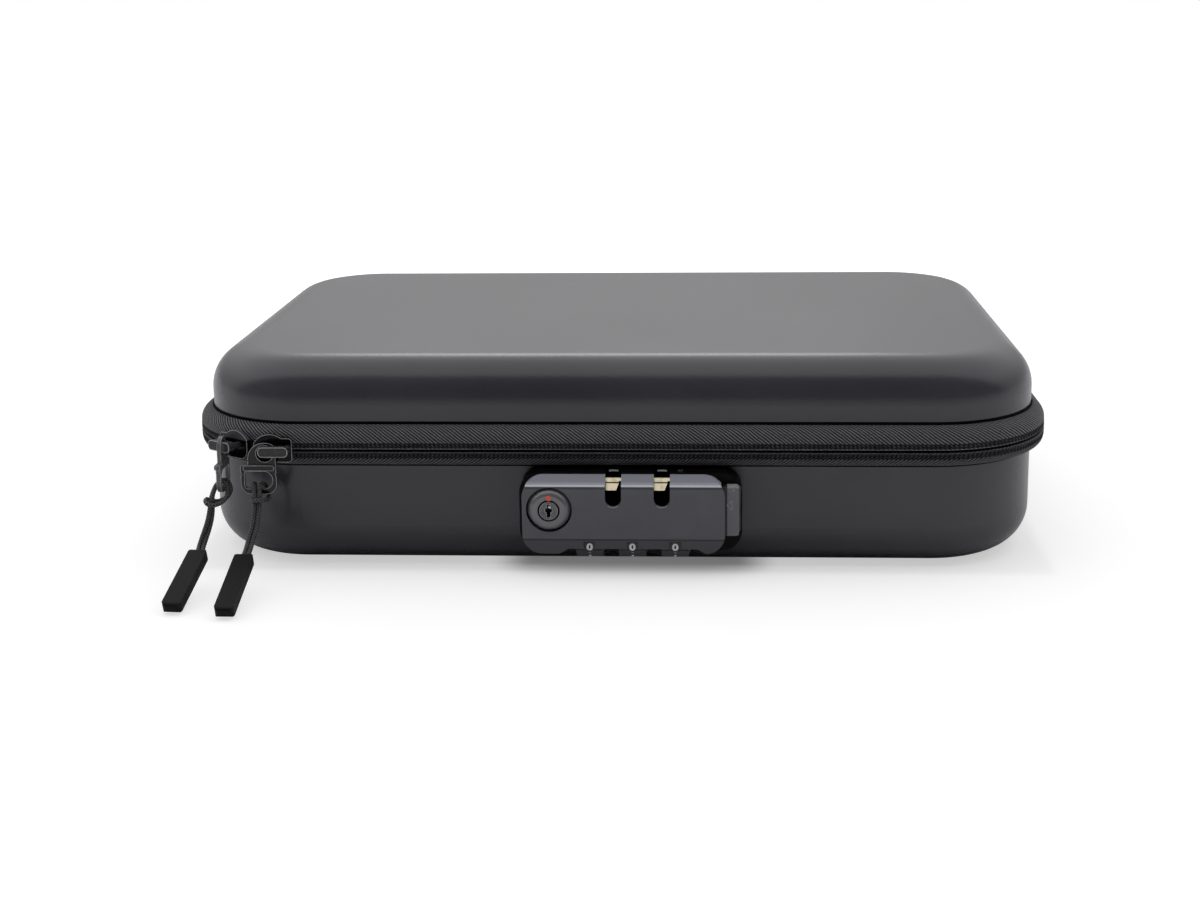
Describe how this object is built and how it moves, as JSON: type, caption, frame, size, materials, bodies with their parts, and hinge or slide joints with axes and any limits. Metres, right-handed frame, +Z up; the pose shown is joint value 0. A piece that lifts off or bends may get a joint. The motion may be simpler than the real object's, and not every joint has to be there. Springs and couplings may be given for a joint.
{
  "type": "lockable zip case",
  "caption": "Flat hard-shell zip case with rounded edges, cord-pull sliders and a front lock with number dials, key override and release button.",
  "frame": {"origin": "centre of the flat underside of the base", "axes": "+X to the right seen from the lock's side, +Y to the hinge at the back, +Z up"},
  "size_m": [0.262, 0.2153, 0.0632],
  "materials": {
    "shell_skin": "fine leather-grain soft skin, matte",
    "lining_cloth": "smooth knitted lining",
    "binding_cloth": "woven edge tape",
    "zip_tape": "herringbone woven tape with rows of stitching",
    "zip_coil": "nylon coil",
    "slider_metal": "gloss black enamel",
    "pull_cord": "braided cord",
    "tag_rubber": "moulded matte rubber",
    "cover_plastic": "fine moulded texture",
    "body_plastic": "gloss black",
    "dial_plastic": "gloss black with pale numbers",
    "bezel_metal": "dark satin",
    "latch_brass": "pale stamped brass",
    "steel": "plain"
  },
  "bodies": {
    "base": {"base_shell": "shell_skin", "base_lining": "lining_cloth", "base_binding": "binding_cloth", "zip_tape_lower": "zip_tape", "zip_coil_lower": "zip_coil", "hinge_strip": "zip_tape", "lock_body": "body_plastic", "lock_cover": "cover_plastic", "lock_backplate": "steel", "lock_screws": "steel", "dial_spindle": "steel", "detent_spring": "steel", "key_bezel": "bezel_metal", "return_spring": "steel"},
    "lid": {"lid_shell": "shell_skin", "lid_lining": "lining_cloth", "lid_binding": "binding_cloth", "zip_tape_upper": "zip_tape", "zip_coil_upper": "zip_coil"},
    "front_slider": {"slider_front": "slider_metal", "crown_front": "slider_metal"},
    "front_puller": {"puller_front": "slider_metal"},
    "front_pull": {"pull_cord_front": "pull_cord", "pull_tag_front": "tag_rubber"},
    "corner_slider": {"slider_corner": "slider_metal", "crown_corner": "slider_metal"},
    "corner_puller": {"puller_corner": "slider_metal"},
    "corner_pull": {"pull_cord_corner": "pull_cord", "pull_tag_corner": "tag_rubber"},
    "first_dial": {"dial_1": "dial_plastic", "dial_sleeve_1": "steel"},
    "second_dial": {"dial_2": "dial_plastic", "dial_sleeve_2": "steel"},
    "third_dial": {"dial_3": "dial_plastic", "dial_sleeve_3": "steel"},
    "key_lock": {"key_plug": "bezel_metal", "key_cam": "latch_brass"},
    "latch": {"latch_bar": "latch_brass", "release_button": "cover_plastic"},
    "reset": {"reset_pin": "steel"}
  },
  "joints": [
    {"name": "lid_hinge", "type": "hinge", "parent": "base", "child": "lid", "pos_m": [0, 0.0872, 0.0374], "axis": [-1, 0, 0], "range_deg": [0, 180], "deforming": ["hinge_strip"]},
    {"name": "front_slider_run", "type": "slide", "parent": "base", "child": "front_slider", "axis": [1, 0, 0], "range_m": [0, 0.06]},
    {"name": "front_puller_swing", "type": "hinge", "parent": "front_slider", "child": "front_puller", "pos_m": [-0.1025, -0.0896, 0.03865], "axis": [0, 1, 0], "range_deg": [-20, 8]},
    {"name": "front_pull_swing", "type": "hinge", "parent": "front_puller", "child": "front_pull", "pos_m": [-0.105, -0.0896, 0.0258], "axis": [-1, 0, 0], "range_deg": [0, 40]},
    {"name": "corner_slider_run", "type": "hinge", "parent": "base", "child": "corner_slider", "pos_m": [-0.094, -0.05, 0.0374], "axis": [0, 0, -1], "range_deg": [0, 50]},
    {"name": "corner_puller_swing", "type": "hinge", "parent": "corner_slider", "child": "corner_puller", "pos_m": [-0.11628, -0.08607, 0.03865], "axis": [-1, 0, 0], "range_deg": [0, 85]},
    {"name": "corner_pull_swing", "type": "hinge", "parent": "corner_puller", "child": "corner_pull", "pos_m": [-0.1163, -0.0878, 0.0258], "axis": [-1, 0, 0], "range_deg": [0, 30]},
    {"name": "first_dial_turn", "type": "hinge", "parent": "base", "child": "first_dial", "pos_m": [-0.0067, -0.089, 0.0112], "axis": [1, 0, 0], "continuous": true},
    {"name": "second_dial_turn", "type": "hinge", "parent": "base", "child": "second_dial", "pos_m": [0.0058, -0.089, 0.0112], "axis": [1, 0, 0], "continuous": true},
    {"name": "third_dial_turn", "type": "hinge", "parent": "base", "child": "third_dial", "pos_m": [0.0183, -0.089, 0.0112], "axis": [1, 0, 0], "continuous": true},
    {"name": "key_turn", "type": "hinge", "parent": "base", "child": "key_lock", "pos_m": [-0.01835, -0.09, 0.022], "axis": [0, 1, 0], "range_deg": [0, 90]},
    {"name": "latch_run", "type": "slide", "parent": "base", "child": "latch", "axis": [-1, 0, 0], "range_m": [0, 0.0035], "stiffness_N_per_m": 300, "deforming": ["return_spring"]},
    {"name": "reset_press", "type": "slide", "parent": "base", "child": "reset", "axis": [0, 0, -1], "range_m": [0, 0.001], "stiffness_N_per_m": 100}
  ]
}
